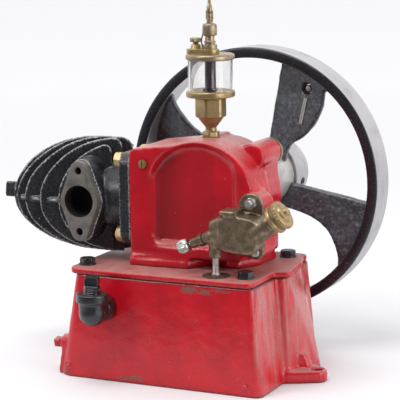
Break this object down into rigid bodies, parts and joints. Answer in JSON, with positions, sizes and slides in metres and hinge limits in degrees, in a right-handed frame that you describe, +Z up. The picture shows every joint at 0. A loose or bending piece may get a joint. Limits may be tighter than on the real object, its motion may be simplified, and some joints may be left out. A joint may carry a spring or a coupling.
{
  "type": "stationary engine",
  "caption": "Small horizontal stationary engine with finned air-cooled cylinder, cast tank base, bladed flywheel, belt pulley, mixer and glass drip oiler.",
  "frame": {"origin": "on the floor under the crank axis, in the middle plane of cylinder and tank", "axes": "X along the cylinder with the head at -X, Y along the crankshaft with the flywheel at +Y, +Z up"},
  "size_m": [0.3431, 0.2644, 0.342],
  "materials": {
    "red_casting": "glossy brushed enamel over rough casting",
    "dusty_red": "dull and dusty",
    "black_bolts": "worn black paint",
    "black_casting": "satin black paint, worn pale at edges",
    "bare_iron": "bare machined face",
    "brass": "aged",
    "bronze": "brown patina",
    "plain_steel": "dull machined",
    "nickel": "tarnished plating",
    "oiler_glass": "clear"
  },
  "bodies": {
    "engine": {"tank_base": "red_casting", "tank_cover_plate": "dusty_red", "cover_bolts": "black_bolts", "filler_elbow": "black_bolts", "filler_plug": "black_bolts", "drain_plug": "red_casting", "crankcase": "red_casting", "crankcase_foot": "red_casting", "case_screw": "brass", "boss_ring": "brass", "main_bearing": "red_casting", "cylinder_barrel": "black_casting", "cooling_fins": "black_casting", "exhaust_port": "black_casting", "exhaust_flange": "bare_iron", "cylinder_nuts": "brass", "head_plug": "black_bolts", "mixer_body": "bronze", "mixer_cover": "bronze", "mixer_flange": "bronze", "mixer_bolt": "plain_steel", "mixer_screw": "plain_steel", "air_cap": "brass", "needle_gland": "bronze", "lift_rod": "plain_steel", "oiler_shank": "brass", "oiler_body": "brass", "oiler_glass": "oiler_glass", "oiler_tube": "plain_steel", "oiler_top_ring": "brass", "oiler_lid": "brass", "lid_screw": "brass", "feed_spindle": "brass", "click_spring": "brass"},
    "flywheel": {"crankshaft": "plain_steel", "flywheel_rim": "black_casting", "flywheel_blades": "black_casting", "flywheel_hub": "black_casting", "starting_pin": "brass", "belt_pulley": "bare_iron", "pulley_screw": "black_bolts"},
    "needle": {"needle_knob": "nickel"},
    "feed_adjuster": {"feed_nut": "brass"},
    "toggle": {"feed_toggle": "brass"}
  },
  "joints": [
    {"name": "flywheel_spin", "type": "hinge", "parent": "engine", "child": "flywheel", "pos_m": [0, 0, 0.165], "axis": [0, 1, 0], "continuous": true},
    {"name": "needle_turn", "type": "hinge", "parent": "engine", "child": "needle", "pos_m": [0.0153, -0.051, 0.1346], "axis": [-0.9272, 0, -0.3746], "range_deg": [-270, 720]},
    {"name": "feed_nut_turn", "type": "hinge", "parent": "engine", "child": "feed_adjuster", "pos_m": [0, 0, 0.31], "axis": [0, 0, 1], "range_deg": [-360, 720]},
    {"name": "toggle_flip", "type": "hinge", "parent": "engine", "child": "toggle", "pos_m": [0, 0, 0.3265], "axis": [0, 1, 0], "range_deg": [0, 90]}
  ]
}
